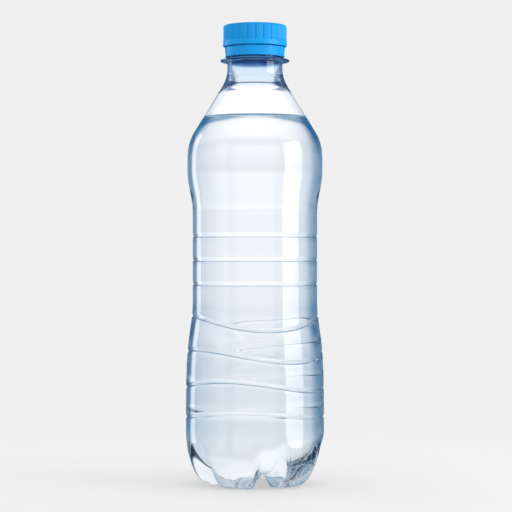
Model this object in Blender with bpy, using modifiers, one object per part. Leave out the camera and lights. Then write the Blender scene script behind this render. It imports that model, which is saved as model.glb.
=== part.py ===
"""A clear half-litre drink bottle, full of water and closed by a ribbed screw cap.

Metres, +Z up, standing on its five feet. The origin is on the floor under the middle of the bottle.
Angles around the bottle are counted from the front (-Y) towards the right (+X).
"""

import math

import bmesh
import bpy

SIDES = 40  # flats around the bottle, and around the water in it
CURVE_STEPS = 3  # rows of faces along each curved run of the outline
WATER_CURVE_STEPS = 2
CLEARANCE = 0.0003  # left between two pieces that touch on the real bottle

# Outline of the bottle: lengths are stacked from the floor up, radii are outside
FOOT_LENGTH = 0.026
HIP_LENGTH = 0.014
TAPER_LENGTH = 0.0236
FLARE_LENGTH = 0.0224
WAIST_LENGTH = 0.0435
BULGE_RISE = 0.019
BULGE_LENGTH = 0.0027
SHOULDER_LENGTH = 0.0158
CONE_LENGTH = 0.0204
NECK_FLARE_LENGTH = 0.0095
NECK_LENGTH = 0.0033
HIP_RADIUS = 0.0328
TAPER_RADIUS = 0.032
WAIST_RADIUS = 0.0296
BULGE_RADIUS = 0.0321
CONE_FOOT_RADIUS = 0.02894
NECK_SPREAD = 0.0033  # how much wider the cone's top is than the neck
BODY_WALL = 0.0004
ROOT_WALL = 0.0011  # where the thick neck thins out into the blown cone
ROOT_RISE = 0.0016  # from the cone's top up to that place
THINNING_LENGTH = 0.003  # from there up to the end of the straight bore

# Moulded neck: the finish that the cap screws on, and the ring that carries the bottle
FINISH_RADIUS = 0.0126
FINISH_WALL = 0.0014
FINISH_LENGTH = 0.0134
LIP_BEVEL = 0.0003
NECK_WALL = 0.0019
RING_REACH = 0.0038
RING_ROOT = 0.0017
RING_TIP = 0.0009
BEAD_DEPTH = 0.0005  # the bead over which the tamper band can't pull
BEAD_LENGTH = 0.0018
BEAD_FLANK = 0.0004

# Grooves around the barrel
GROOVE_WIDTH = 0.0024
GROOVE_DEPTH = 0.0008
RING_GROOVES = 3
RING_GROOVE_RISE = 0.0087  # from the waist's foot up to the lowest ring groove
RING_GROOVE_DROP = 0.0121  # from the waist's top down to the highest one
WAVE_DROP = 0.0175  # from the lowest ring groove down to the highest wavy one
WAVE_RISE = 0.0075  # from the top of the feet up to the lowest wavy one
# Wavy grooves: nudge from an even spacing, swing up and down, angle of the low point, lean forward
WAVE_GROOVES = (
    (0.0, 0.00286, 14, 0.0009),
    (-0.0004, 0.00274, 39, 0.0009),
    (-0.0007, 0.00271, 66, 0.0),
    (0.0, 0.00181, 80, 0.0),
)

# Five feet with valleys between them
FEET = 5
FOOT_ANGLE = -22.5  # the middle of the first foot
PAD_HALF_ANGLE = 18
FLANK_ANGLE = 12
PAD_RADIUS = 0.021
PAD_WIDTH = 0.006
VALLEY_RADIUS = 0.012
VALLEY_HEIGHT = 0.006
MIDDLE_RADIUS = 0.004
MIDDLE_HEIGHT = 0.0073
INNER_FLANK_RUN = 0.4  # where a foot's inner flank bends: share of the way in, and of the way up
INNER_FLANK_RISE = 0.58
FOOT_STEPS = 5  # rows of faces down each foot
WATER_FOOT_STEPS = 3

# Screw cap, its sealing disc and the tamper band that it leaves behind
THREAD_SPACE = 0.0012
CAP_WALL = 0.0013
CAP_TOP_WALL = 0.0013
CAP_EDGE = 0.0015
CAP_EDGE_STEPS = 2
CAP_FLARE = 0.0001
CAP_RIBS = 24
CAP_SIDES_PER_RIB = 4
CAP_RIB_DEPTH = 0.00045
CAP_RIB_RUNOUT = 0.0004
CAP_PLAIN_SKIRT = 0.0023  # smooth lower edge below the ribs
LINER_THICKNESS = 0.0008
CAP_SLIT = 0.0006
BAND_SIDES = 36
BAND_GAP = 0.0009  # from the support ring up to the band
BAND_LENGTH = 0.0044
BAND_WALL = 0.001
BAND_DRAFT = 0.00045
BAND_LIP = 0.0002
BAND_LIP_LENGTH = 0.0007
BAND_CATCH_LENGTH = 0.0008
BAND_CATCH_FLANK = 0.0005
BAND_BRIDGES = 12

# Water
FILL_DROP = 0.0138  # from the cone's top down to the water
WATER_CLEARANCE = 0.0005  # the plain solid keeps off the wall, and further off the steep feet
WATER_FOOT_CLEARANCE = 0.001

# Heights that follow
HIP_FOOT = FOOT_LENGTH
HIP_TOP = HIP_FOOT + HIP_LENGTH
TAPER_TOP = HIP_TOP + TAPER_LENGTH
WAIST_FOOT = TAPER_TOP + FLARE_LENGTH
WAIST_TOP = WAIST_FOOT + WAIST_LENGTH
BULGE_FOOT = WAIST_TOP + BULGE_RISE
BULGE_TOP = BULGE_FOOT + BULGE_LENGTH
CONE_FOOT = BULGE_TOP + SHOULDER_LENGTH
CONE_TOP = CONE_FOOT + CONE_LENGTH
NECK_FOOT = CONE_TOP + NECK_FLARE_LENGTH
RING_FOOT = NECK_FOOT + NECK_LENGTH
RING_TOP = RING_FOOT + RING_ROOT
LIP_TOP = RING_TOP + FINISH_LENGTH
BAND_FOOT = RING_TOP + BAND_GAP
BAND_TOP = BAND_FOOT + BAND_LENGTH
BAND_CATCH_TOP = BAND_FOOT + BAND_CATCH_LENGTH
BEAD_FOOT = BAND_CATCH_TOP + BAND_CATCH_FLANK + CLEARANCE
BEAD_TOP = BEAD_FOOT + BEAD_LENGTH
CAP_FOOT = BAND_TOP + CAP_SLIT
LINER_FOOT = LIP_TOP + CLEARANCE
LINER_TOP = LINER_FOOT + LINER_THICKNESS
CAP_CEILING = LINER_TOP + CLEARANCE
CAP_TOP = CAP_CEILING + CAP_TOP_WALL
WATER_LEVEL = CONE_TOP - FILL_DROP
LOWEST_RING_GROOVE = WAIST_FOOT + RING_GROOVE_RISE
HIGHEST_RING_GROOVE = WAIST_TOP - RING_GROOVE_DROP
HIGHEST_WAVE = LOWEST_RING_GROOVE - WAVE_DROP
LOWEST_WAVE = HIP_FOOT + WAVE_RISE
BORE_FOOT = CONE_TOP + ROOT_RISE + THINNING_LENGTH

# Radii that follow
BORE_RADIUS = FINISH_RADIUS - FINISH_WALL
NECK_RADIUS = BORE_RADIUS + NECK_WALL
CONE_TOP_RADIUS = NECK_RADIUS + NECK_SPREAD
RING_RADIUS = FINISH_RADIUS + RING_REACH
BEAD_RADIUS = FINISH_RADIUS + BEAD_DEPTH
BAND_BORE = BEAD_RADIUS + CLEARANCE
BAND_CATCH_RADIUS = FINISH_RADIUS + CLEARANCE
CAP_BORE = FINISH_RADIUS + THREAD_SPACE
CAP_RADIUS = CAP_BORE + CAP_WALL
LINER_RADIUS = CAP_BORE - CLEARANCE

CONE_SLOPE = (CONE_TOP_RADIUS - CONE_FOOT_RADIUS) / CONE_LENGTH
TAPER_SLOPE = (WAIST_RADIUS - HIP_RADIUS) / (TAPER_LENGTH + FLARE_LENGTH)
# Height, radius and slope where the outline changes its run
OUTLINE = (
    (HIP_FOOT, HIP_RADIUS, 0.0),
    (HIP_TOP, HIP_RADIUS, 0.0),
    (TAPER_TOP, TAPER_RADIUS, TAPER_SLOPE),
    (WAIST_FOOT, WAIST_RADIUS, 0.0),
    (WAIST_TOP, WAIST_RADIUS, 0.0),
    (BULGE_FOOT, BULGE_RADIUS, 0.0),
    (BULGE_TOP, BULGE_RADIUS, 0.0),
    (CONE_FOOT, CONE_FOOT_RADIUS, CONE_SLOPE),
    (CONE_TOP, CONE_TOP_RADIUS, CONE_SLOPE),
    (NECK_FOOT, NECK_RADIUS, 0.0),
)

# Base colour, roughness and alpha
CLEAR_PET = ((0.62, 0.80, 0.91), 0.06, 0.3)
BLUE_POLYETHYLENE = ((0.010, 0.27, 0.76), 0.32, 1.0)
LINER_FOAM = ((0.80, 0.86, 0.90), 0.5, 1.0)
WATER_BLUE = ((0.72, 0.87, 0.95), 0.02, 0.3)
SHARP_ANGLE = 35
MERGE_DISTANCE = 1e-6


def outline(height):
    """Outside radius of the ungrooved bottle at this height, on a smooth curve through OUTLINE."""
    height = min(max(height, OUTLINE[0][0]), OUTLINE[-1][0])
    for low, high in zip(OUTLINE, OUTLINE[1:]):
        if height <= high[0]:
            break
    run = high[0] - low[0]
    t = (height - low[0]) / run
    ends = (2 * t**3 - 3 * t**2 + 1) * low[1] + (3 * t**2 - 2 * t**3) * high[1]
    slopes = (t**3 - 2 * t**2 + t) * low[2] + (t**3 - t**2) * high[2]
    return ends + run * slopes


def smooth_step(t):
    t = min(max(t, 0.0), 1.0)
    return t * t * (3 - 2 * t)


def mix(start, end, share):
    return start + (end - start) * share


def between(top, foot, steps):
    """Heights from top down to foot, without foot."""
    return [mix(top, foot, step / steps) for step in range(steps)]


def wave_levels():
    """Middle heights of the wavy grooves, from the highest down."""
    last = len(WAVE_GROOVES) - 1
    return [
        mix(HIGHEST_WAVE, LOWEST_WAVE, number / last) + wave[0]
        for number, wave in enumerate(WAVE_GROOVES)
    ]


def groove_levels():
    """Middle heights of all the grooves, from the highest down."""
    rings = between(HIGHEST_RING_GROOVE, LOWEST_RING_GROOVE, RING_GROOVES - 1)
    return rings + [LOWEST_RING_GROOVE] + wave_levels()


def wave_shift(height, angle):
    """How far the waves lift what lies at this height, which fades out between the grooves."""
    anchors = [(LOWEST_RING_GROOVE, 0.0)]
    for level, (_, swing, low_angle, lean) in zip(wave_levels(), WAVE_GROOVES):
        dip = swing * math.cos(2 * (angle - math.radians(low_angle)))
        anchors.append((level, -dip - lean * math.cos(angle)))
    anchors.append((HIP_FOOT, 0.0))
    for high, low in zip(anchors, anchors[1:]):
        if low[0] <= height <= high[0]:
            return mix(low[1], high[1], (height - low[0]) / (high[0] - low[0]))
    return 0.0


def foot_share(angle, inset):
    """1 on the feet, 0 in the valleys between them; a foot is narrower by inset on each side."""
    pitch = 360 / FEET
    off_centre = (math.degrees(angle) - FOOT_ANGLE + pitch / 2) % pitch - pitch / 2
    narrowed = PAD_HALF_ANGLE - math.degrees(inset / PAD_RADIUS)
    return 1 - smooth_step((abs(off_centre) - narrowed) / FLANK_ANGLE)


def fixed_row(radius, height):
    """A row of a turned shape is a function from angle to radius and height."""
    return lambda angle: (radius, height)


def barrel_row(height, depth, inset):
    def place(angle):
        level = height + wave_shift(height, angle)
        return outline(level) - depth - inset, level

    return place


def base_row(foot, valley, foot_way, valley_way, inset):
    """A row between the feet's own line and the valleys', each moved into the bottle by inset."""

    def place(angle):
        share = foot_share(angle, inset)
        place_in_row = []
        for axis in (0, 1):
            on_foot = foot[axis] + inset * foot_way[axis]
            in_valley = valley[axis] + inset * valley_way[axis]
            place_in_row.append(mix(in_valley, on_foot, share))
        return place_in_row

    return place


def smooth_levels(steps):
    """Heights of the ungrooved rows from the neck to the waist, with steps rows on each curved run."""
    levels = between(NECK_FOOT, CONE_TOP, steps) + [CONE_TOP]
    levels += between(CONE_FOOT, BULGE_TOP, steps) + [BULGE_TOP]
    return levels + between(BULGE_FOOT, WAIST_TOP, steps) + [WAIST_TOP]


def barrel_rows(inset):
    """Rows of the bottle's barrel from the waist's grooves down to the feet."""
    rows = []
    levels = groove_levels()
    for above, level in zip([WAIST_TOP] + levels, levels):
        if level < WAIST_FOOT and above > TAPER_TOP:
            rows.append(barrel_row(mix(above, level, 0.5), 0.0, inset))
        rows.append(barrel_row(level + GROOVE_WIDTH / 2, 0.0, inset))
        rows.append(barrel_row(level, GROOVE_DEPTH, inset))
        rows.append(barrel_row(level - GROOVE_WIDTH / 2, 0.0, inset))
    return rows


def base_rows(inset, steps):
    """Rows from the top of the feet down to their pads, and in to the middle of the base."""
    rows = []
    for step in range(steps + 1):
        turn = math.pi / 2 * step / steps
        reach, drop = math.cos(turn), math.sin(turn)
        foot = (mix(PAD_RADIUS, HIP_RADIUS, reach), mix(FOOT_LENGTH, 0.0, drop))
        valley = (mix(VALLEY_RADIUS, HIP_RADIUS, reach), mix(FOOT_LENGTH, VALLEY_HEIGHT, drop))
        rows.append(base_row(foot, valley, (-reach, drop), (-reach, drop), inset))
    pad_inside = PAD_RADIUS - PAD_WIDTH
    slant = math.sqrt(0.5)
    inner_flank = (
        mix(pad_inside, MIDDLE_RADIUS, INNER_FLANK_RUN),
        mix(0.0, MIDDLE_HEIGHT, INNER_FLANK_RISE),
    )
    inner_valley, last_valley = (
        (mix(VALLEY_RADIUS, MIDDLE_RADIUS, share), mix(VALLEY_HEIGHT, MIDDLE_HEIGHT, share))
        for share in (1 / 3, 2 / 3)
    )
    middle = (MIDDLE_RADIUS, MIDDLE_HEIGHT)
    rows.append(base_row((pad_inside, 0.0), inner_valley, (slant, 1.0), (0.0, 1.0), inset))
    rows.append(base_row(inner_flank, last_valley, (slant, slant), (0.0, 1.0), inset))
    rows.append(base_row(middle, middle, (0.0, 1.0), (0.0, 1.0), inset))
    rows.append(fixed_row(0.0, MIDDLE_HEIGHT + inset))
    return rows


def turned(name, rows, sides, finish):
    """Turns the rows, listed down the outside, into one closed shape, then gives each its place."""
    blank = bpy.data.meshes.new(name + "_profile")
    profile = [row(0.0) for row in rows]
    edges = [(index, index + 1) for index in range(len(rows) - 1)]
    off_axis = profile[0][0] > 0
    if off_axis:
        edges.append((len(rows) - 1, 0))
    blank.from_pydata([(radius, 0, height) for radius, height in profile], edges, [])
    order = blank.attributes.new("row", "INT", "POINT")
    for index, entry in enumerate(order.data):
        entry.value = index
    spinner = bpy.data.objects.new(name + "_profile", blank)
    bpy.context.scene.collection.objects.link(spinner)
    screw = spinner.modifiers.new("Screw", "SCREW")
    screw.angle = 2 * math.pi
    screw.steps = screw.render_steps = sides
    screw.use_merge_vertices = False
    graph = bpy.context.evaluated_depsgraph_get()
    mesh = bpy.data.meshes.new_from_object(spinner.evaluated_get(graph))
    bpy.data.objects.remove(spinner)
    bpy.data.meshes.remove(blank)

    row_of = [entry.value for entry in mesh.attributes["row"].data]
    for vertex, index in zip(mesh.vertices, row_of):
        direction = math.atan2(vertex.co.x, -vertex.co.y)
        side = round(direction * sides / (2 * math.pi))
        radius, height = rows[index](2 * math.pi * side / sides)
        vertex.co.x = radius * math.sin(direction)
        vertex.co.y = -radius * math.cos(direction)
        vertex.co.z = height
    mesh.attributes.remove(mesh.attributes["row"])

    work = bmesh.new()
    work.from_mesh(mesh)
    bmesh.ops.remove_doubles(work, verts=work.verts, dist=MERGE_DISTANCE)
    work.to_mesh(mesh)
    work.free()
    mesh.name = name
    mesh.materials.clear()
    mesh.materials.append(material(name, finish))
    mesh.shade_smooth()
    mesh.set_sharp_from_angle(angle=math.radians(SHARP_ANGLE))
    piece = bpy.data.objects.new(name, mesh)
    parts.objects.link(piece)
    return piece


def material(name, finish):
    colour, roughness, alpha = finish
    result = bpy.data.materials.new(name)
    result.use_nodes = True
    shader = result.node_tree.nodes["Principled BSDF"]
    shader.inputs["Base Color"].default_value = (*colour, 1.0)
    shader.inputs["Roughness"].default_value = roughness
    shader.inputs["Metallic"].default_value = 0.0
    shader.inputs["Alpha"].default_value = alpha
    return result


def make_bottle():
    """The blown bottle: bore, lip, finish, bead, support ring, cone, grooved barrel and feet."""
    inside = base_rows(BODY_WALL, FOOT_STEPS)[::-1] + barrel_rows(BODY_WALL)[::-1]
    inside += [
        barrel_row(level, 0.0, BODY_WALL)
        for level in smooth_levels(CURVE_STEPS)[::-1]
        if level <= CONE_TOP
    ]
    inside += [
        barrel_row(CONE_TOP + ROOT_RISE, 0.0, ROOT_WALL),
        fixed_row(BORE_RADIUS, BORE_FOOT),
        fixed_row(BORE_RADIUS, LIP_TOP),
    ]
    tip_drop = (RING_ROOT - RING_TIP) / 2
    outside = [
        fixed_row(FINISH_RADIUS - LIP_BEVEL, LIP_TOP),
        fixed_row(FINISH_RADIUS, LIP_TOP - LIP_BEVEL),
        fixed_row(FINISH_RADIUS, BEAD_TOP),
        fixed_row(BEAD_RADIUS, BEAD_TOP - BEAD_FLANK),
        fixed_row(BEAD_RADIUS, BEAD_FOOT + BEAD_FLANK),
        fixed_row(FINISH_RADIUS, BEAD_FOOT),
        fixed_row(FINISH_RADIUS, RING_TOP),
        fixed_row(RING_RADIUS, RING_TOP - tip_drop),
        fixed_row(RING_RADIUS, RING_FOOT + tip_drop),
        fixed_row(NECK_RADIUS, RING_FOOT),
    ]
    outside += [barrel_row(level, 0.0, 0.0) for level in smooth_levels(CURVE_STEPS)]
    outside += barrel_rows(0.0) + base_rows(0.0, FOOT_STEPS)
    return turned("bottle", inside + outside, SIDES, CLEAR_PET)


def make_water():
    """The fill, kept clear of the bottle's wall and of the insides of its grooves."""
    inset = BODY_WALL + WATER_CLEARANCE
    top_groove = groove_levels()[0]
    rows = [fixed_row(0.0, WATER_LEVEL), barrel_row(WATER_LEVEL, 0.0, inset)]
    rows += [
        barrel_row(level, 0.0, inset)
        for level in smooth_levels(WATER_CURVE_STEPS)
        if WAIST_TOP <= level < WATER_LEVEL
    ]
    grooved = [top_groove + GROOVE_WIDTH] + between(WAIST_FOOT, TAPER_TOP, 4)
    grooved += [TAPER_TOP, HIP_TOP, HIP_FOOT + GROOVE_WIDTH]
    for level in grooved:
        radius = outline(level) - GROOVE_DEPTH - inset
        rows.append(fixed_row(radius, level))
    rows += base_rows(BODY_WALL + WATER_FOOT_CLEARANCE, WATER_FOOT_STEPS)
    return turned("water", rows, SIDES, WATER_BLUE)


def ribbed_row(radius, height, depth):
    """A row of the cap, cut in by depth along every second pair of its sides."""
    sides = CAP_RIBS * CAP_SIDES_PER_RIB

    def place(angle):
        side = round(angle * sides / (2 * math.pi)) % CAP_SIDES_PER_RIB
        return (radius - depth if side < CAP_SIDES_PER_RIB / 2 else radius), height

    return place


def make_cap():
    """The moulded cap: flat top, round edge, ribbed skirt with a smooth lower edge, plain bore."""
    rib_foot = CAP_FOOT + CAP_PLAIN_SKIRT
    rows = [fixed_row(0.0, CAP_TOP)]
    for step in range(CAP_EDGE_STEPS + 1):
        turn = math.pi / 2 * step / CAP_EDGE_STEPS
        radius = CAP_RADIUS - CAP_EDGE * (1 - math.sin(turn))
        height = CAP_TOP - CAP_EDGE * (1 - math.cos(turn))
        rows.append(ribbed_row(radius, height, CAP_RIB_DEPTH * step / CAP_EDGE_STEPS))
    rows += [
        ribbed_row(CAP_RADIUS, rib_foot + CAP_RIB_RUNOUT, CAP_RIB_DEPTH),
        fixed_row(CAP_RADIUS + CAP_FLARE, rib_foot),
        fixed_row(CAP_RADIUS + CAP_FLARE, CAP_FOOT),
        fixed_row(CAP_BORE, CAP_FOOT),
        fixed_row(CAP_BORE, CAP_CEILING),
        fixed_row(0.0, CAP_CEILING),
    ]
    return turned("cap", rows, CAP_RIBS * CAP_SIDES_PER_RIB, BLUE_POLYETHYLENE)


def make_liner():
    """The sealing disc between the cap's ceiling and the lip."""
    rows = [
        fixed_row(0.0, LINER_TOP),
        fixed_row(LINER_RADIUS, LINER_TOP),
        fixed_row(LINER_RADIUS, LINER_FOOT),
        fixed_row(0.0, LINER_FOOT),
    ]
    return turned("cap_liner", rows, SIDES, LINER_FOAM)


def make_band():
    """The tamper band: a catch under the neck's bead, and the stubs of the bridges to the cap."""
    outer_top = BAND_BORE + BAND_WALL
    outer_foot = outer_top - BAND_DRAFT
    lip_top = BAND_FOOT + BAND_LIP_LENGTH
    rows = [
        fixed_row(outer_top, BAND_TOP),
        fixed_row(outer_foot, lip_top + BAND_LIP),
        fixed_row(outer_foot + BAND_LIP, lip_top),
        fixed_row(outer_foot + BAND_LIP, BAND_FOOT),
        fixed_row(BAND_CATCH_RADIUS, BAND_FOOT),
        fixed_row(BAND_CATCH_RADIUS, BAND_CATCH_TOP),
        fixed_row(BAND_BORE, BAND_CATCH_TOP + BAND_CATCH_FLANK),
        fixed_row(BAND_BORE, BAND_TOP),
    ]
    band = turned("tamper_band", rows, BAND_SIDES, BLUE_POLYETHYLENE)

    work = bmesh.new()
    work.from_mesh(band.data)
    top_edge = [
        face
        for face in work.faces
        if all(abs(vertex.co.z - BAND_TOP) < MERGE_DISTANCE for vertex in face.verts)
    ]
    top_edge.sort(key=lambda face: math.atan2(*face.calc_center_median().xy))
    stubs = top_edge[:: BAND_SIDES // BAND_BRIDGES]
    raised = bmesh.ops.extrude_discrete_faces(work, faces=stubs)["faces"]
    corners = {vertex for face in raised for vertex in face.verts}
    bmesh.ops.translate(work, verts=list(corners), vec=(0, 0, CAP_SLIT - CLEARANCE))
    work.to_mesh(band.data)
    work.free()
    return band


for old in list(bpy.data.objects):
    bpy.data.objects.remove(old)
parts = bpy.data.collections.new("drink_bottle")
bpy.context.scene.collection.children.link(parts)

make_bottle()
make_water()
make_cap()
make_liner()
make_band()
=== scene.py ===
"""A half-litre drink bottle of clear plastic, full of water, with its blue screw cap still sealed.

The frame is in metres. Each piece is drawn here in millimetres and brought down to metres at its end.
Angles around the bottle are counted from the front (-Y) towards the right (+X).
"""

import math

import bmesh
import bpy
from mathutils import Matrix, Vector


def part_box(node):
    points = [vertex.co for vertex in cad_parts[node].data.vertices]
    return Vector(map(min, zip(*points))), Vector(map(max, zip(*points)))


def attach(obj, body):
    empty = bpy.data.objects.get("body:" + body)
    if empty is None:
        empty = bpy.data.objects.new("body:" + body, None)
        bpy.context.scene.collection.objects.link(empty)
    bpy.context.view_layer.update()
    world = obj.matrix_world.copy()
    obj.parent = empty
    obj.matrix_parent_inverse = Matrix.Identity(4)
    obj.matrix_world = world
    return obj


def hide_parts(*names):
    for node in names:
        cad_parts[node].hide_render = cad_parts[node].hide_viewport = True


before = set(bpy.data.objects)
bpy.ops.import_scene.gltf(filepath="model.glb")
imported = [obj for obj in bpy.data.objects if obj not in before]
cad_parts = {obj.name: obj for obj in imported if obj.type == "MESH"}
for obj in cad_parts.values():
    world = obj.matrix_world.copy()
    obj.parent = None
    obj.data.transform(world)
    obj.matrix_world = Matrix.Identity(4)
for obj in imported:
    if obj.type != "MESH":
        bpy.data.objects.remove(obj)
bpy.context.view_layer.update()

# The bottle is blown from a moulded blank of clear plastic. The neck keeps the blank's thick wall, and
# all below it is stretched thin: a cone, a bulge, a waist with ring grooves, wavy grooves and five feet.
MM = 0.001
MERGE_DISTANCE = 1e-7
BOTTLE_SIDES = 240  # the water has as many, so that the two keep their distance all the way round
LIP_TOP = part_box("bottle")[1].z / MM
HIP_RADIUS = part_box("bottle")[1].x / MM
WATER_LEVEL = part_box("water")[1].z / MM
FOOT_TOP, HIP_TOP, TAPER_HEIGHT, WAIST_FOOT, WAIST_TOP = 26.0, 40.0, 63.6, 86.0, 129.5
BULGE_FOOT, BULGE_TOP, CONE_FOOT, CONE_TOP, NECK_FOOT = 148.5, 151.2, 167.0, 187.4, 196.9
TAPER_RADIUS, WAIST_RADIUS, BULGE_RADIUS, CONE_FOOT_RADIUS, CONE_TOP_RADIUS = 32.0, 29.6, 32.1, 28.94, 16.4
NECK_RADIUS, FINISH_RADIUS, BORE_RADIUS = 13.1, 12.6, 11.2
CONE_SLOPE, TAPER_SLOPE = -0.6147, -0.0696
OUTLINE = (  # height, outside radius and slope where the wall changes its run
    (FOOT_TOP, HIP_RADIUS, 0.0),
    (HIP_TOP, HIP_RADIUS, 0.0),
    (TAPER_HEIGHT, TAPER_RADIUS, TAPER_SLOPE),
    (WAIST_FOOT, WAIST_RADIUS, 0.0),
    (WAIST_TOP, WAIST_RADIUS, 0.0),
    (BULGE_FOOT, BULGE_RADIUS, 0.0),
    (BULGE_TOP, BULGE_RADIUS, 0.0),
    (CONE_FOOT, CONE_FOOT_RADIUS, CONE_SLOPE),
    (CONE_TOP, CONE_TOP_RADIUS, CONE_SLOPE),
    (NECK_FOOT, NECK_RADIUS, 0.0),
)
BODY_WALL = 0.4
THIN_TOP, BORE_FOOT = 186.5, 196.5  # the wall is thin up to the first and thickens up to the second
ROOT_PROFILE = (  # height and inside radius between the two; the small step shows as the line at the root
    (188.0, 15.42), (189.4, 14.37), (189.55, 14.21), (190.5, 13.5), (191.5, 12.85), (192.5, 12.25),
    (193.5, 11.75), (194.5, 11.4), (195.5, 11.25),
)
ROOT_LINE = 189.0
RING_DEPTH, WAVE_DEPTH = 0.42, 0.62
GROOVE_RISE = 1.9  # height from a groove's deepest line up to its soft rim
RING_DROP, WAVE_DROP = 0.55, 0.85  # height from the deepest line down to the crisp rim
BACK_WAVE = 0.6  # share of a wave's depth that is left at the back
GROOVE_STEPS = 6
RING_GROOVES = (117.4, 106.05, 94.7)
WAVES = (  # height, swing up and down, angle of the low point, lean forward
    (77.2, 2.86, 14, 0.9),
    (62.2, 2.74, 39, 0.9),
    (47.4, 2.71, 66, 0.0),
    (33.5, 1.81, 80, 0.0),
)
GROOVES = RING_GROOVES + tuple(wave[0] for wave in WAVES)
BARREL_STEP = 2.0
UPPER_STEP = 1.5
FEET, FOOT_ANGLE, PAD_HALF_ANGLE, FLANK_ANGLE = 5, -22.5, 18.0, 12.0
PAD_RADIUS, PAD_INSIDE = 21.0, 15.0
VALLEY_RADIUS, VALLEY_INSIDE, VALLEY_HEIGHT = 12.0, 10.0, 6.0
MIDDLE_RADIUS, MIDDLE_HEIGHT = 4.0, 7.3
FOOT_STEPS, INNER_FOOT_STEPS = 20, 10
RING_FOOT, RING_TOP, RING_RADIUS, RING_TAPER, RING_EDGE = 200.2, 201.9, 16.4, 0.4, 0.25
RING_FALL = 0.04  # what the taper has risen or fallen one edge's width along
BEAD_FOOT, BEAD_TOP, BEAD_RADIUS, BEAD_FLANK, BEAD_ROUND = 204.4, 206.2, 13.1, 0.4, 0.1
LIP_ROUND = 0.3
THREAD_LEAD, THREAD_STARTS, THREAD_DEPTH = 9.0, 3, 0.75
THREAD_FOOT, THREAD_TOP, THREAD_STEP = 207.0, 214.2, 0.24
THREAD_HALF, THREAD_FLANK, THREAD_FADE = 0.85, 0.6, 0.9


def smooth(share):
    share = min(max(share, 0.0), 1.0)
    return share * share * (3 - 2 * share)


def mix(start, end, share):
    return start + (end - start) * share


def spread(start, end, step):
    """Values from start to end, both in, about a step apart."""
    count = max(1, round(abs(end - start) / step))
    return [mix(start, end, index / count) for index in range(count + 1)]


def outline(height):
    """Outside radius of the wall at this height, without grooves."""
    for low, high in zip(OUTLINE, OUTLINE[1:]):
        if height <= high[0]:
            break
    run = high[0] - low[0]
    t = (min(max(height, low[0]), high[0]) - low[0]) / run
    ends = (2 * t**3 - 3 * t**2 + 1) * low[1] + (3 * t**2 - 2 * t**3) * high[1]
    slopes = (t**3 - 2 * t**2 + t) * low[2] + (t**3 - t**2) * high[2]
    return ends + run * slopes


def groove_depth(height, angle):
    """How far the nearest groove sets the wall in: gently from above, steeply from below."""
    groove = min(GROOVES, key=lambda level: abs(height - level))
    away = height - groove
    depth, drop = (RING_DEPTH, RING_DROP) if groove in RING_GROOVES else (WAVE_DEPTH, WAVE_DROP)
    if groove not in RING_GROOVES:
        depth *= mix(1.0, BACK_WAVE, smooth(0.5 - 0.5 * math.cos(angle)))
    return depth * (1 - smooth(away / GROOVE_RISE if away > 0 else -away / drop))


def wave_shift(height, angle):
    """How far the waves lift what lies at this height, fading out between the grooves."""
    anchors = [(RING_GROOVES[-1], 0.0)]
    for level, swing, low_angle, lean in WAVES:
        dip = swing * math.cos(2 * (angle - math.radians(low_angle)))
        anchors.append((level, -dip - lean * math.cos(angle)))
    anchors.append((FOOT_TOP, 0.0))
    for high, low in zip(anchors, anchors[1:]):
        if low[0] <= height <= high[0]:
            return mix(low[1], high[1], smooth((height - low[0]) / (high[0] - low[0])))
    return 0.0


def fixed_row(radius, height):
    """A row of a turned piece is a function from the angle to a radius and a height."""
    return lambda angle: (radius, height)


def barrel_row(height, inset):
    def place(angle):
        level = height + wave_shift(height, angle)
        return outline(level) - groove_depth(height, angle) - inset, level

    return place


def foot_row(foot, valley, foot_way, valley_way, inset):
    """A row that runs over the feet and the valleys, moved into the bottle by the inset."""

    def place(angle):
        pitch = 360 / FEET
        off_centre = (math.degrees(angle) - FOOT_ANGLE + pitch / 2) % pitch - pitch / 2
        narrowed = PAD_HALF_ANGLE - math.degrees(inset / PAD_RADIUS)
        share = 1 - smooth((abs(off_centre) - narrowed) / FLANK_ANGLE)
        return tuple(
            mix(valley[axis] + inset * valley_way[axis], foot[axis] + inset * foot_way[axis], share)
            for axis in (0, 1)
        )

    return place


def barrel_rows(inset, top):
    """Rows of the blown wall from the top down to the feet, close together in each groove."""
    heights = [height for height in spread(NECK_FOOT, WAIST_TOP, UPPER_STEP) if height <= top]
    above = WAIST_TOP
    for groove in GROOVES:
        drop = RING_DROP if groove in RING_GROOVES else WAVE_DROP
        heights += spread(above, groove + GROOVE_RISE, BARREL_STEP)[1:]
        heights += spread(groove + GROOVE_RISE, groove, GROOVE_RISE / GROOVE_STEPS)[1:]
        heights += spread(groove, groove - drop, drop / GROOVE_STEPS)[1:]
        above = groove - drop
    heights += spread(above, FOOT_TOP, BARREL_STEP)[1:-1]
    return [barrel_row(height, inset) for height in heights]


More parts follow.
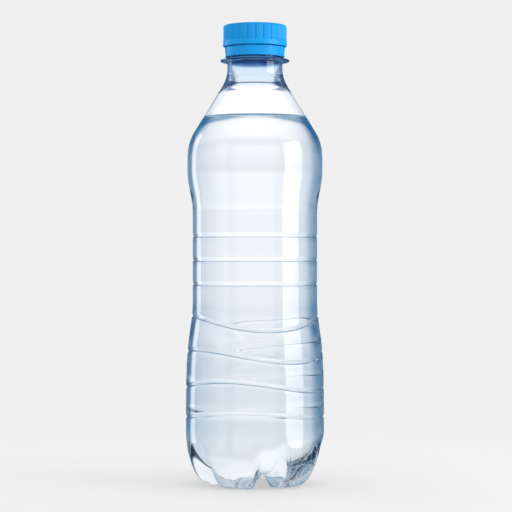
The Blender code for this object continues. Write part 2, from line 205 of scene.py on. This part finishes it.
def base_rows(inset):
    """Rows from the top of the feet down to their pads, and in to the middle of the base."""
    rows = []
    for step in range(FOOT_STEPS + 1):
        turn = math.pi / 2 * step / FOOT_STEPS
        reach, drop = math.cos(turn), math.sin(turn)
        foot = (mix(PAD_RADIUS, HIP_RADIUS, reach), mix(FOOT_TOP, 0.0, drop))
        valley = (mix(VALLEY_RADIUS, HIP_RADIUS, reach), mix(FOOT_TOP, VALLEY_HEIGHT, drop))
        rows.append(foot_row(foot, valley, (-reach, drop), (-reach, drop), inset))
    for step in range(INNER_FOOT_STEPS + 1):
        share = step / INNER_FOOT_STEPS
        foot = (mix(PAD_INSIDE, MIDDLE_RADIUS, share), MIDDLE_HEIGHT * math.sin(math.pi / 2 * share))
        valley = (mix(VALLEY_INSIDE, MIDDLE_RADIUS, share), mix(VALLEY_HEIGHT, MIDDLE_HEIGHT, share))
        slant = math.sqrt(0.5) * (1 - share)
        rows.append(foot_row(foot, valley, (slant, 1 - slant * slant), (0.0, 1.0), inset))
    rows.append(fixed_row(MIDDLE_RADIUS / 2, MIDDLE_HEIGHT + inset))
    rows.append(fixed_row(0.0, MIDDLE_HEIGHT + inset))
    return rows


def thread(height, angle, shift):
    """Share of the thread's full height at this place on the neck; shift moves it along the neck."""
    pitch = THREAD_LEAD / THREAD_STARTS
    away = abs((height + shift - THREAD_LEAD * angle / math.tau) % pitch - pitch / 2)
    ridge = smooth((THREAD_HALF - away) / THREAD_FLANK)
    ends = smooth((height - THREAD_FOOT) / THREAD_FADE) * smooth((THREAD_TOP - height) / THREAD_FADE)
    return ridge * ends


def thread_row(radius, height, depth, shift=0.0):
    return lambda angle: (radius + depth * thread(height, angle, shift), height)


def turned(name, rows, sides):
    """Spins a piece's rows round the axis, then gives every corner the place that its row says."""
    work = bmesh.new()
    row_of = work.verts.layers.int.new("row")
    profile = []
    for index, row in enumerate(rows):
        radius, height = row(0.0)
        corner = work.verts.new((0, -radius, height))
        corner[row_of] = index
        profile.append(corner)
    edges = [work.edges.new(pair) for pair in zip(profile, profile[1:])]
    if rows[0](0.0)[0] > 0:
        edges.append(work.edges.new((profile[-1], profile[0])))
    bmesh.ops.spin(
        work,
        geom=profile + edges,
        cent=(0, 0, 0),
        axis=(0, 0, 1),
        angle=math.tau,
        steps=sides,
        use_merge=True,
    )
    for corner in work.verts:
        side = round(math.atan2(corner.co.x, -corner.co.y) / math.tau * sides)
        angle = math.tau * side / sides
        radius, height = rows[corner[row_of]](angle)
        corner.co = (radius * math.sin(angle) * MM, -radius * math.cos(angle) * MM, height * MM)
    bmesh.ops.remove_doubles(work, verts=work.verts, dist=MERGE_DISTANCE)
    bmesh.ops.recalc_face_normals(work, faces=work.faces)
    mesh = bpy.data.meshes.new(name)
    work.to_mesh(mesh)
    work.free()
    mesh.shade_smooth()
    piece = bpy.data.objects.new(name, mesh)
    bpy.context.scene.collection.objects.link(piece)
    return piece


class Socket:
    """A shader socket that takes part in sums: each operator adds the Math node that works it out."""

    def __init__(self, tree, end=None):
        self.tree = tree
        self.end = end

    def node(self, kind, settings=None, inputs=None, output=0):
        """Adds a node, makes its settings and then its sockets' values or links; gives an output."""
        made = self.tree.nodes.new(kind)
        for key, value in (settings or {}).items():
            if key == "stops":
                ramp = made.color_ramp.elements
                while len(ramp) < len(value):
                    ramp.new(1.0)
                for stop, (position, colour) in zip(ramp, value):
                    stop.position = position
                    grey = (colour, colour, colour)
                    stop.color = (*(colour if isinstance(colour, tuple) else grey), 1.0)
            else:
                setattr(made, key, value)
        for key, value in (inputs or {}).items():
            if isinstance(value, Socket):
                self.tree.links.new(value.end, made.inputs[key])
            else:
                made.inputs[key].default_value = value
        return Socket(self.tree, made.outputs[output])

    def sum(self, operation, first, second=0.0):
        return self.node("ShaderNodeMath", {"operation": operation}, {0: first, 1: second})

    def __add__(self, other):
        return self.sum("ADD", self, other)

    def __sub__(self, other):
        return self.sum("SUBTRACT", self, other)

    def __mul__(self, other):
        return self.sum("MULTIPLY", self, other)

    def __truediv__(self, other):
        return self.sum("DIVIDE", self, other)

    def __radd__(self, other):
        return self.sum("ADD", other, self)

    def __rsub__(self, other):
        return self.sum("SUBTRACT", other, self)

    def __rmul__(self, other):
        return self.sum("MULTIPLY", other, self)

    def blend(self, start, end):
        """Colour between start and end by this share."""
        return self.node(
            "ShaderNodeMix", {"data_type": "RGBA"}, {0: self, 6: start, 7: end}, output=2
        )


def finish(name, make):
    """A material whose Principled sockets are what make, given the node tree's own Socket, returns."""
    material = bpy.data.materials.new(name)
    material.use_nodes = True
    tree = material.node_tree
    shader = tree.nodes["Principled BSDF"]
    for key, value in make(Socket(tree)).items():
        if isinstance(value, Socket):
            tree.links.new(value.end, shader.inputs[key])
        else:
            shader.inputs[key].default_value = value
    return material


def clear_plastic(socket):
    """Clear and nearly colourless where it is seen straight on, painted dark blue shade where it is seen at a
    slant.
    """
    place = socket.node("ShaderNodeTexCoord", output="Object")
    ripple = socket.node("ShaderNodeTexNoise", None, {"Vector": place, "Scale": 45.0, "Detail": 1.0})
    bump = socket.node("ShaderNodeBump", None, {"Strength": 0.25, "Distance": 0.0002, "Height": ripple})
    height = socket.node("ShaderNodeSeparateXYZ", None, {0: place}, "Z") * (1 / (LIP_TOP * MM))
    flat_place = {0: place, 1: (1.0, 1.0, 0.0)}
    across = socket.node("ShaderNodeVectorMath", {"operation": "MULTIPLY"}, flat_place, "Vector")
    across = socket.node("ShaderNodeVectorMath", {"operation": "LENGTH"}, {0: across}, "Value")
    across = across * (1 / (RING_RADIUS * MM))

    def by_height(*stops):
        stops = tuple((level / LIP_TOP, value) for level, value in stops)
        return socket.node("ShaderNodeValToRGB", {"stops": stops}, {"Fac": height})

    # Seen straight on, the neck is a little bluer than the body. The support ring gets painted navy shade at
    # its rim and at its root, and the finish above it is painted blue: shade and the blue cap's reflection
    # that the plastic would bend and mirror there.
    straight = by_height(
        (ROOT_LINE + 1.5, (0.99, 0.995, 1.0)),
        (ROOT_LINE + 5, (0.85, 0.89, 0.93)),
        (RING_FOOT - 1.5, (0.75, 0.86, 0.95)),
        (RING_FOOT - 1.2, (0.12, 0.30, 0.55)),
        (RING_TOP, (0.30, 0.55, 0.85)),
    )
    # Across the ring: painted navy shade at its root, a pale clear plate, painted near-black shade at its rim.
    ring_shade_stops = (
        (0.83, (0.02, 0.15, 0.45)),
        (0.87, (0.85, 0.92, 0.97)),
        (0.95, (0.85, 0.92, 0.97)),
        (0.98, (0.005, 0.03, 0.12)),
    )
    ring_shade = socket.node("ShaderNodeValToRGB", {"stops": ring_shade_stops}, {"Fac": across})
    in_ring = by_height(
        (RING_FOOT - 0.2, 0.0), (RING_FOOT + 0.1, 1.0), (RING_TOP - 0.3, 1.0), (RING_TOP + 0.1, 0.0)
    )
    straight = in_ring.blend(straight, ring_shade)

    # Seen at a slant, it gets this painted shade, standing in for the dim studio that the rims bend and
    # mirror, navy under the waterline and at the root; the larger the reach, the wider the stripe down each
    # side.
    slant_shade = by_height(
        (FOOT_TOP - 6, (0.12, 0.55, 0.82)),
        (FOOT_TOP + 4, (0.45, 0.56, 0.64)),
        (BULGE_TOP, (0.45, 0.56, 0.64)),
        (CONE_FOOT, (0.01, 0.15, 0.36)),
        (WATER_LEVEL, (0.01, 0.10, 0.27)),
        (WATER_LEVEL + 1, (0.72, 0.78, 0.82)),
        (CONE_TOP - 1, (0.70, 0.76, 0.80)),
        (ROOT_LINE, (0.02, 0.07, 0.24)),
    )
    reach = by_height(
        (FOOT_TOP - 6, 0.3), (FOOT_TOP + 4, 0.5), (BULGE_TOP, 0.5), (CONE_FOOT, 0.58), (WATER_LEVEL, 0.66),
        (WATER_LEVEL + 1, 0.36), (CONE_TOP - 1, 0.36), (ROOT_LINE - 0.2, 0.88), (ROOT_LINE + 0.9, 0.88),
        (ROOT_LINE + 1.4, 0.70),
    )
    slant = socket.node("ShaderNodeLayerWeight", None, {"Blend": 0.5}, "Facing") + reach - 0.5
    slant = socket.node("ShaderNodeValToRGB", {"stops": ((0.60, 0.0), (0.76, 1.0))}, {"Fac": slant})
    bore = socket.node("ShaderNodeMapRange", None, {"Value": across, "From Min": 0.75, "From Max": 0.70})
    slant = slant * (1.0 - bore * by_height((BORE_FOOT - 0.5, 0.0), (BORE_FOOT + 0.5, 1.0)))
    return {
        "Base Color": slant.blend(straight, slant_shade),
        "Roughness": ripple * 0.02,
        "IOR": 1.575,
        "Transmission Weight": 1.0,
        "Normal": bump,
    }


def bottle_rows():
    """Rows up the inside from the middle of the base, over the lip, and down the outside."""
    inside = base_rows(BODY_WALL)[::-1] + barrel_rows(BODY_WALL, THIN_TOP)[::-1]
    inside += [fixed_row(radius, height) for height, radius in ROOT_PROFILE]
    inside += [fixed_row(BORE_RADIUS, height) for height in spread(BORE_FOOT, LIP_TOP - LIP_ROUND, 1.0)]
    outside = [
        fixed_row(BORE_RADIUS + LIP_ROUND, LIP_TOP),
        fixed_row(FINISH_RADIUS - LIP_ROUND, LIP_TOP),
        fixed_row(FINISH_RADIUS, LIP_TOP - LIP_ROUND),
    ]
    outside += [
        thread_row(FINISH_RADIUS, height, THREAD_DEPTH)
        for height in spread(THREAD_TOP, THREAD_FOOT, THREAD_STEP)
    ]
    outside += [
        fixed_row(FINISH_RADIUS, BEAD_TOP),
        fixed_row(BEAD_RADIUS - BEAD_ROUND, BEAD_TOP - BEAD_FLANK),
        fixed_row(BEAD_RADIUS, (BEAD_TOP + BEAD_FOOT) / 2),
        fixed_row(BEAD_RADIUS - BEAD_ROUND, BEAD_FOOT + BEAD_FLANK),
        fixed_row(FINISH_RADIUS, BEAD_FOOT),
        fixed_row(FINISH_RADIUS, BEAD_FOOT - 2 * BEAD_ROUND),
        fixed_row(FINISH_RADIUS, RING_TOP + 2 * RING_EDGE),
        fixed_row(FINISH_RADIUS, RING_TOP + RING_EDGE),
        fixed_row(FINISH_RADIUS + RING_EDGE, RING_TOP),
        fixed_row(FINISH_RADIUS + 2 * RING_EDGE, RING_TOP - RING_FALL),
        fixed_row(RING_RADIUS - 2 * RING_EDGE, RING_TOP - RING_TAPER + RING_FALL),
        fixed_row(RING_RADIUS - RING_EDGE, RING_TOP - RING_TAPER),
        fixed_row(RING_RADIUS, RING_TOP - RING_TAPER - RING_EDGE),
        fixed_row(RING_RADIUS, RING_FOOT + RING_TAPER + RING_EDGE),
        fixed_row(RING_RADIUS - RING_EDGE, RING_FOOT + RING_TAPER),
        fixed_row(RING_RADIUS - 2 * RING_EDGE, RING_FOOT + RING_TAPER - RING_FALL),
        fixed_row(NECK_RADIUS + 2 * RING_EDGE, RING_FOOT + RING_FALL),
        fixed_row(NECK_RADIUS + RING_EDGE, RING_FOOT),
        fixed_row(NECK_RADIUS, RING_FOOT - RING_EDGE),
        fixed_row(NECK_RADIUS, RING_FOOT - 2 * RING_EDGE),
    ]
    return inside + outside + barrel_rows(0.0, NECK_FOOT) + base_rows(0.0)


bottle = turned("bottle_shell", bottle_rows(), BOTTLE_SIDES)
bottle.data.materials.append(finish("clear plastic", clear_plastic))
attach(bottle, "bottle_body")
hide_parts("bottle")

# The water fills the bottle to just under the top of the cone and climbs the wall a little at its edge.
# Its side lies in the middle of the plastic's thickness, so that no air shows between the two.
WATER_INSET = BODY_WALL / 2
CLIMB = 0.8
CLIMB_REACH = 1.3
CLIMB_STEPS = 8
BRIM_SHADE_START = 1.0002  # share of the water's height, just over its flat surface


def water_rows():
    """Rows from the middle of the surface out and up the wall, then down the side and in below."""
    rows = [fixed_row(0.0, WATER_LEVEL)]
    wall = outline(WATER_LEVEL + CLIMB) - WATER_INSET
    rows.append(fixed_row(wall / 2, WATER_LEVEL))
    for step in range(CLIMB_STEPS + 1):
        share = step / CLIMB_STEPS
        rows.append(fixed_row(wall - CLIMB_REACH * (1 - share), WATER_LEVEL + CLIMB * share**2.4))
    return rows + barrel_rows(WATER_INSET, WATER_LEVEL) + base_rows(WATER_INSET)


def clear_water(socket):
    """Clear, with painted grey shade that changes with the height, and painted darker shade on the brim up the
    wall.
    """
    place = socket.node("ShaderNodeTexCoord", output="Object")
    cloud = socket.node("ShaderNodeTexNoise", None, {"Vector": place, "Scale": 18.0, "Detail": 2.0})
    height = socket.node("ShaderNodeSeparateXYZ", None, {0: place}, "Z") * (1 / (WATER_LEVEL * MM))
    stops = (  # share of the water's height, and the painted grey shade there, darker near the bottom and in a band higher up
        (0.0, (0.79, 0.82, 0.84)),
        (0.15, (0.79, 0.84, 0.87)),
        (0.4, (0.84, 0.87, 0.90)),
        (0.62, (0.94, 0.96, 0.985)),
        (0.74, (0.93, 0.95, 0.975)),
        (0.78, (0.82, 0.845, 0.88)),
        (0.85, (0.82, 0.845, 0.88)),
        (0.91, (0.97, 0.98, 0.99)),
        (0.96, (1.0, 1.0, 1.0)),
    )
    height_shade = socket.node("ShaderNodeValToRGB", {"stops": stops}, {"Fac": height + (cloud - 0.5) * 0.02})
    # The brim, where the water climbs the wall, gets a painted dark shade.
    climb = {"Value": height, "From Min": BRIM_SHADE_START, "From Max": 1 + CLIMB / 2 / WATER_LEVEL}
    brim_shade = socket.node("ShaderNodeMapRange", None, climb)
    return {
        "Base Color": brim_shade.blend(height_shade, (0.22, 0.37, 0.50, 1.0)),
        "Roughness": 0.0,
        "IOR": 1.333,
        "Transmission Weight": 1.0,
    }


water = turned("water_fill", water_rows(), BOTTLE_SIDES)
water.data.materials.append(finish("clear water", clear_water))
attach(water, "bottle_body")
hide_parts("water")

# The tamper band is what the cap leaves behind when it is first opened: a thin tapered ring moulded in
# one with the cap, joined to it by small bridges, with a rounded lip below and a catch under the bead.
BAND_SIDES = 240
BAND_LOW, BAND_HIGH = (corner.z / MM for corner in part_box("tamper_band"))
BAND_TOP = BAND_HIGH - 0.15  # the bridges stand on this edge
BAND_RADIUS, BAND_BORE, CATCH_RADIUS = 14.4, 13.4, 12.95
BAND_DRAFT, BAND_LIP, BAND_LIP_LENGTH = 0.45, 0.2, 0.7
BAND_ROUND, BAND_LIP_ROUND, BAND_TOP_ROUND, BAND_TOP_FALL = 0.1, 0.12, 0.15, 0.06
CATCH_TOP, CATCH_RAMP = 0.8, 0.5  # the catch's top over the band's foot, and the run back to the bore
BRIDGES, BRIDGE_SHARE = 12, 0.1


def bridge_row(radius, foot, top):
    def place(angle):
        turn = angle / math.tau * BRIDGES % 1.0
        return radius, top if turn < BRIDGE_SHARE else foot

    return place


def band_rows():
    foot_radius = BAND_RADIUS - BAND_DRAFT
    return [
        fixed_row(foot_radius + BAND_LIP - BAND_ROUND, BAND_LOW),
        fixed_row(foot_radius + BAND_LIP, BAND_LOW + BAND_LIP_ROUND),
        fixed_row(foot_radius + BAND_LIP, BAND_LOW + BAND_LIP_LENGTH - BAND_LIP_ROUND),
        fixed_row(foot_radius + BAND_LIP - BAND_ROUND, BAND_LOW + BAND_LIP_LENGTH),
        fixed_row(foot_radius, BAND_LOW + BAND_LIP_LENGTH + BAND_LIP),
        fixed_row(BAND_RADIUS - BAND_TOP_FALL, BAND_TOP - BAND_TOP_ROUND),
        bridge_row(BAND_RADIUS - BAND_TOP_ROUND, BAND_TOP, BAND_HIGH),
        bridge_row(BAND_BORE + BAND_ROUND, BAND_TOP, BAND_HIGH),
        fixed_row(BAND_BORE, BAND_TOP - BAND_ROUND),
        fixed_row(BAND_BORE, BAND_LOW + CATCH_TOP + CATCH_RAMP),
        fixed_row(CATCH_RADIUS, BAND_LOW + CATCH_TOP),
        fixed_row(CATCH_RADIUS, BAND_LOW + BAND_ROUND),
        fixed_row(CATCH_RADIUS + BAND_ROUND, BAND_LOW),
    ]


def blue_plastic(socket):
    place = socket.node("ShaderNodeTexCoord", output="Object")
    grain = socket.node("ShaderNodeTexNoise", None, {"Vector": place, "Scale": 900.0, "Detail": 3.0})
    cloud = socket.node("ShaderNodeTexNoise", None, {"Vector": place, "Scale": 160.0, "Detail": 2.0})
    bump = socket.node("ShaderNodeBump", None, {"Strength": 0.3, "Distance": 0.00005, "Height": grain})
    return {
        "Base Color": cloud.blend((0.001, 0.325, 0.79, 1.0), (0.004, 0.37, 0.85, 1.0)),
        "Roughness": 0.26 + grain * 0.16,
        "IOR": 1.5,
        "Specular IOR Level": 0.28,
        "Subsurface Weight": 0.15,
        "Subsurface Radius": (0.4, 0.8, 1.0),
        "Subsurface Scale": 0.001,
        "Normal": bump,
    }


BLUE_PLASTIC = finish("blue plastic", blue_plastic)
band = turned("tamper_ring", band_rows(), BAND_SIDES)
band.data.materials.append(BLUE_PLASTIC)
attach(band, "bottle_body")
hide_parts("tamper_band")

# The sealing disc is punched from white foam sheet and pressed into the cap's ceiling.
# Its rim is rounded by the punch, and the bottle's lip has left a shallow ring in it.
DISC_SIDES = 96
DISC_LOW, DISC_HIGH = (corner.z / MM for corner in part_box("cap_liner"))
DISC_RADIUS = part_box("cap_liner")[1].x / MM
DISC_ROUND = 0.2
LIP_PRINT, PRINT_FLOOR_HALF, PRINT_HALF = 0.08, 0.4, 0.7  # depth, half width at the bottom and at the top


def disc_rows():
    lip_middle = (FINISH_RADIUS + BORE_RADIUS) / 2
    return [
        fixed_row(0.0, DISC_HIGH),
        fixed_row(DISC_RADIUS - DISC_ROUND, DISC_HIGH),
        fixed_row(DISC_RADIUS, DISC_HIGH - DISC_ROUND),
        fixed_row(DISC_RADIUS, DISC_LOW + DISC_ROUND),
        fixed_row(DISC_RADIUS - DISC_ROUND, DISC_LOW),
        fixed_row(lip_middle + PRINT_HALF, DISC_LOW),
        fixed_row(lip_middle + PRINT_FLOOR_HALF, DISC_LOW + LIP_PRINT),
        fixed_row(lip_middle - PRINT_FLOOR_HALF, DISC_LOW + LIP_PRINT),
        fixed_row(lip_middle - PRINT_HALF, DISC_LOW),
        fixed_row(0.0, DISC_LOW),
    ]


def white_foam(socket):
    place = socket.node("ShaderNodeTexCoord", output="Object")
    cells = socket.node("ShaderNodeTexVoronoi", None, {"Vector": place, "Scale": 2500.0}, "Distance")
    bump = socket.node("ShaderNodeBump", None, {"Strength": 0.4, "Distance": 0.00005, "Height": cells})
    return {
        "Base Color": cells.blend((0.86, 0.9, 0.93, 1.0), (0.74, 0.8, 0.86, 1.0)),
        "Roughness": 0.5,
        "Normal": bump,
    }


disc = turned("seal_disc", disc_rows(), DISC_SIDES)
disc.data.materials.append(finish("white foam", white_foam))
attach(disc, "liner_body")
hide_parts("cap_liner")

# The cap is moulded in blue plastic. Fine ribs run down its skirt for grip, every fifth one set off by a
# deeper groove that also notches the top edge. The lowest part of the skirt is smooth.
CAP_LOW, CAP_HIGH = (corner.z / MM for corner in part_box("cap"))
CAP_RADIUS = 15.1
CAP_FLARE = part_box("cap")[1].x / MM - CAP_RADIUS
CAP_BORE, CAP_CEILING = 13.8, 216.7
MAIN_GROOVES, FINE_RIBS, SIDES_PER_RIB = 24, 120, 4
MAIN_DEPTH, MAIN_HALF = 0.6, 1.6
FINE_DEPTH = 0.28
RIB_FOOT = CAP_LOW + 2.3
CAP_EDGE = 1.3
CAP_EDGE_STEPS = 6
GATE_RADIUS, GATE_RIM, GATE_DEPTH = 0.7, 1.0, 0.25  # the pit in the top's middle, where the plastic came in
DISH_RADIUS, DISH_RIM, DISH_DEPTH = 10.6, 11.0, 0.12
SKIRT_ROUND, BORE_CHAMFER = 0.25, 0.2


def rib_cut(angle):
    """How deep the grip is cut in at this angle."""
    main_pitch = 360 / MAIN_GROOVES
    off_main = abs((math.degrees(angle) + main_pitch / 2) % main_pitch - main_pitch / 2)
    main = MAIN_DEPTH * smooth(1.5 - off_main / MAIN_HALF)
    fine = FINE_DEPTH * (0.5 + 0.5 * math.cos(angle * FINE_RIBS))
    return max(main, fine)


def ribbed_row(radius, height, share):
    return lambda angle: (radius - share * rib_cut(angle), height)


def cap_rows():
    rows = [
        fixed_row(0.0, CAP_HIGH - GATE_DEPTH),
        fixed_row(GATE_RADIUS, CAP_HIGH - GATE_DEPTH),
        fixed_row(GATE_RIM, CAP_HIGH - DISH_DEPTH),
        fixed_row(DISH_RADIUS, CAP_HIGH - DISH_DEPTH),
        fixed_row(DISH_RIM, CAP_HIGH),
    ]
    for step in range(CAP_EDGE_STEPS + 1):
        turn = math.pi / 2 * step / CAP_EDGE_STEPS
        radius = CAP_RADIUS - CAP_EDGE * (1 - math.sin(turn))
        height = CAP_HIGH - CAP_EDGE * (1 - math.cos(turn))
        rows.append(ribbed_row(radius, height, smooth(step / CAP_EDGE_STEPS * 2.2)))
    for height in spread(CAP_HIGH - CAP_EDGE, RIB_FOOT + 0.5, 1.0)[1:]:
        rows.append(ribbed_row(CAP_RADIUS, height, 1.0))
    flared = CAP_RADIUS + CAP_FLARE
    rows += [
        ribbed_row(CAP_RADIUS + 0.03, RIB_FOOT + 0.25, 0.6),
        fixed_row(flared - 0.02, RIB_FOOT),
        fixed_row(flared, RIB_FOOT - 0.3),
        fixed_row(flared, CAP_LOW + SKIRT_ROUND),
        fixed_row(flared - 0.08, CAP_LOW + 0.08),
        fixed_row(flared - SKIRT_ROUND, CAP_LOW),
        fixed_row(CAP_BORE + BORE_CHAMFER, CAP_LOW),
        fixed_row(CAP_BORE, CAP_LOW + BORE_CHAMFER),
    ]
    pitch = THREAD_LEAD / THREAD_STARTS
    rows += [
        thread_row(CAP_BORE, height, -THREAD_DEPTH, pitch / 2)
        for height in spread(CAP_LOW + 0.4, THREAD_TOP, THREAD_STEP)
    ]
    return rows + [fixed_row(CAP_BORE, CAP_CEILING), fixed_row(0.0, CAP_CEILING)]


cap = turned("screw_cap", cap_rows(), FINE_RIBS * SIDES_PER_RIB)
cap.data.materials.append(BLUE_PLASTIC)
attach(cap, "cap_body")
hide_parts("cap")

# The studio is a pale floor that fades into a pale backdrop, with a tall softbox at the right and a narrow
# strip behind at the left. Light that has passed through the bottle meets white panels instead, with
# bluish dimness between them.
BACKDROP = 0.863
FLOOR_RADIUS = 0.45
FLOOR_CLEAR = 0.12
FLOOR_FADED = 0.40
FLOOR_DROP = 0.0001
LAMP_DISTANCE, LAMP_HEIGHT, LAMP_AIM = 0.8, 0.16, 0.11  # the last is the height that the lamps aim at


def studio_world():
    """Straight views meet the plain backdrop, and what the bottle bends or mirrors meets the studio."""
    world = bpy.data.worlds.new("studio")
    bpy.context.scene.world = world
    world.use_nodes = True
    start = Socket(world.node_tree)
    background = world.node_tree.nodes["Background"]
    way = start.node("ShaderNodeTexCoord", output="Generated")
    across, along, up = (
        start.node("ShaderNodeSeparateXYZ", None, {0: way}, axis) for axis in "XYZ"
    )
    bearing = start.sum("ARCTAN2", across, along) * (1 / math.tau) + 0.5
    level = up * 0.5 + 0.5

    def by_bearing(*stops):
        """Share of white by the direction in degrees from straight behind towards the right."""
        stops = tuple((angle / 360 + 0.5, share) for angle, share in stops)
        return start.node("ShaderNodeValToRGB", {"stops": stops}, {"Fac": bearing})

    def by_lift(*stops):
        """Colour by the direction in degrees over the horizon."""
        stops = tuple((0.5 + 0.5 * math.sin(math.radians(angle)), colour) for angle, colour in stops)
        return start.node("ShaderNodeValToRGB", {"stops": stops}, {"Fac": level})

    panels = by_bearing(
        (-180, 1.0), (-150, 1.0), (-141, 0.0), (-135, 0.0), (-126, 1.0), (-72, 1.0), (-60, 0.0), (-45, 0.0),
        (-41, 0.1), (-37, 0.29), (-34, 0.46), (-32, 0.62), (-29, 0.71), (-20, 0.9), (-8, 1.0),
        (8, 1.0), (18, 0.9), (27, 0.80), (31, 0.74), (37, 0.78), (40, 0.85), (43, 0.78), (46, 0.46),
        (50, 0.12), (53, 0.0), (60, 0.0), (72, 1.0), (126, 1.0), (135, 0.0), (141, 0.0), (150, 1.0), (180, 1.0),
    )
    dimness = by_lift(
        (-60, (0.80, 0.85, 0.90)), (-35, (0.75, 0.82, 0.88)), (-25, (0.05, 0.25, 0.50)),
        (-12, (0.02, 0.13, 0.32)), (-7, (0.16, 0.32, 0.47)), (-3, (0.17, 0.33, 0.48)),
        (0, (0.29, 0.44, 0.58)), (3, (0.29, 0.44, 0.58)), (9, (0.24, 0.41, 0.56)),
        (22, (0.45, 0.60, 0.74)), (32, (0.78, 0.86, 0.93)), (60, (0.85, 0.90, 0.94)),
    )
    whiteness = by_lift(
        (-90, (0.90, 0.92, 0.94)), (-42, (0.95, 0.97, 0.98)), (-36, (0.29, 0.46, 0.61)),
        (-23.5, (0.21, 0.40, 0.55)),
        (-20.5, (1.1, 1.1, 1.1)), (-9, (1.15, 1.15, 1.15)), (-5, (0.94, 0.96, 0.99)), (-2, (0.99, 1.0, 1.01)),
        (1, (1.02, 1.02, 1.02)), (3, (1.04, 1.04, 1.04)), (4.2, (1.2, 1.2, 1.2)), (16, (1.2, 1.2, 1.2)),
        (30, (1.0, 1.0, 1.0)), (60, (0.9, 0.93, 0.96)),
    )
    seen_through = panels.blend(dimness, whiteness)
    mirrored = by_lift(
        (-62, (0.80, 0.84, 0.88)), (-42, (0.10, 0.22, 0.38)), (20, (0.05, 0.17, 0.34)), (70, (0.4, 0.5, 0.6))
    )
    ray = {
        kind: start.node("ShaderNodeLightPath", output=f"Is {kind} Ray")
        for kind in ("Camera", "Glossy", "Transmission")
    }
    colour = ray["Glossy"].blend((0.87, 0.87, 0.87, 1.0), mirrored)
    colour = ray["Transmission"].blend(colour, seen_through)
    colour = ray["Camera"].blend(colour, (BACKDROP, BACKDROP, BACKDROP, 1.0))
    world.node_tree.links.new(colour.end, background.inputs["Color"])


def studio_floor():
    """A round pale floor that holds the bottle's faint shadow and is gone before its edge."""
    work = bmesh.new()
    bmesh.ops.create_circle(work, cap_ends=True, segments=96, radius=FLOOR_RADIUS)
    bmesh.ops.translate(work, verts=work.verts, vec=(0, 0, -FLOOR_DROP))
    bmesh.ops.recalc_face_normals(work, faces=work.faces)
    mesh = bpy.data.meshes.new("floor")
    work.to_mesh(mesh)
    work.free()
    floor = bpy.data.objects.new("floor", mesh)
    bpy.context.scene.collection.objects.link(floor)

    def pale(socket):
        place = socket.node("ShaderNodeTexCoord", output="Object")
        away = socket.node("ShaderNodeVectorMath", {"operation": "LENGTH"}, {0: place}, "Value")
        fade = socket.node(
            "ShaderNodeMapRange",
            {"interpolation_type": "SMOOTHSTEP"},
            {"Value": away, "From Min": FLOOR_CLEAR, "From Max": FLOOR_FADED, "To Min": 0.45, "To Max": 0.0},
        )
        return {
            "Base Color": (0.95, 0.95, 0.95, 1.0),
            "Roughness": 0.9,
            "Alpha": fade,
            "Specular IOR Level": 0.0,
        }

    mesh.materials.append(finish("pale floor", pale))
    floor.visible_transmission = False
    floor.visible_glossy = False


def softbox(name, angle, width, tall, power):
    """An area lamp aimed at the bottle's middle; the angle is from the front towards the right."""
    data = bpy.data.lights.new(name, "AREA")
    data.shape = "RECTANGLE"
    data.size, data.size_y, data.energy = width, tall, power
    lamp = bpy.data.objects.new(name, data)
    turn = math.radians(angle)
    lamp.location = (LAMP_DISTANCE * math.sin(turn), -LAMP_DISTANCE * math.cos(turn), LAMP_HEIGHT)
    aim = lamp.location.copy()
    aim.z -= LAMP_AIM
    lamp.rotation_euler = aim.to_track_quat("Z", "Y").to_euler()
    bpy.context.scene.collection.objects.link(lamp)
    lamp.visible_camera = False
    lamp.visible_transmission = False


studio_world()
studio_floor()
softbox("right softbox", 69, 0.51, 0.75, 3.9)
softbox("left strip", -125, 0.22, 0.8, 1.0)

# The camera stands level with the middle of the bottle, 0.9 m in front of it. The light bounces more often
# than it would by default, because one line of sight crosses many curved walls.
CAMERA_DISTANCE = 0.9
PICTURE_WIDTH = 0.2437  # what the picture takes in at the bottle's axis
CAMERA_HEIGHT = 0.1083
CAMERA_SIDE = 0.0005
BOUNCES = 40
camera_data = bpy.data.cameras.new("camera")
camera = bpy.data.objects.new("camera", camera_data)
bpy.context.scene.collection.objects.link(camera)
camera.location = (CAMERA_SIDE, -CAMERA_DISTANCE, CAMERA_HEIGHT)
camera.rotation_euler = (math.pi / 2, 0, 0)
camera_data.sensor_width = 36.0
camera_data.lens = camera_data.sensor_width * CAMERA_DISTANCE / PICTURE_WIDTH
bpy.context.scene.camera = camera
bpy.context.scene.view_settings.view_transform = "Standard"
bpy.context.scene.cycles.max_bounces = BOUNCES
bpy.context.scene.cycles.transmission_bounces = BOUNCES
bpy.context.scene.cycles.glossy_bounces = BOUNCES
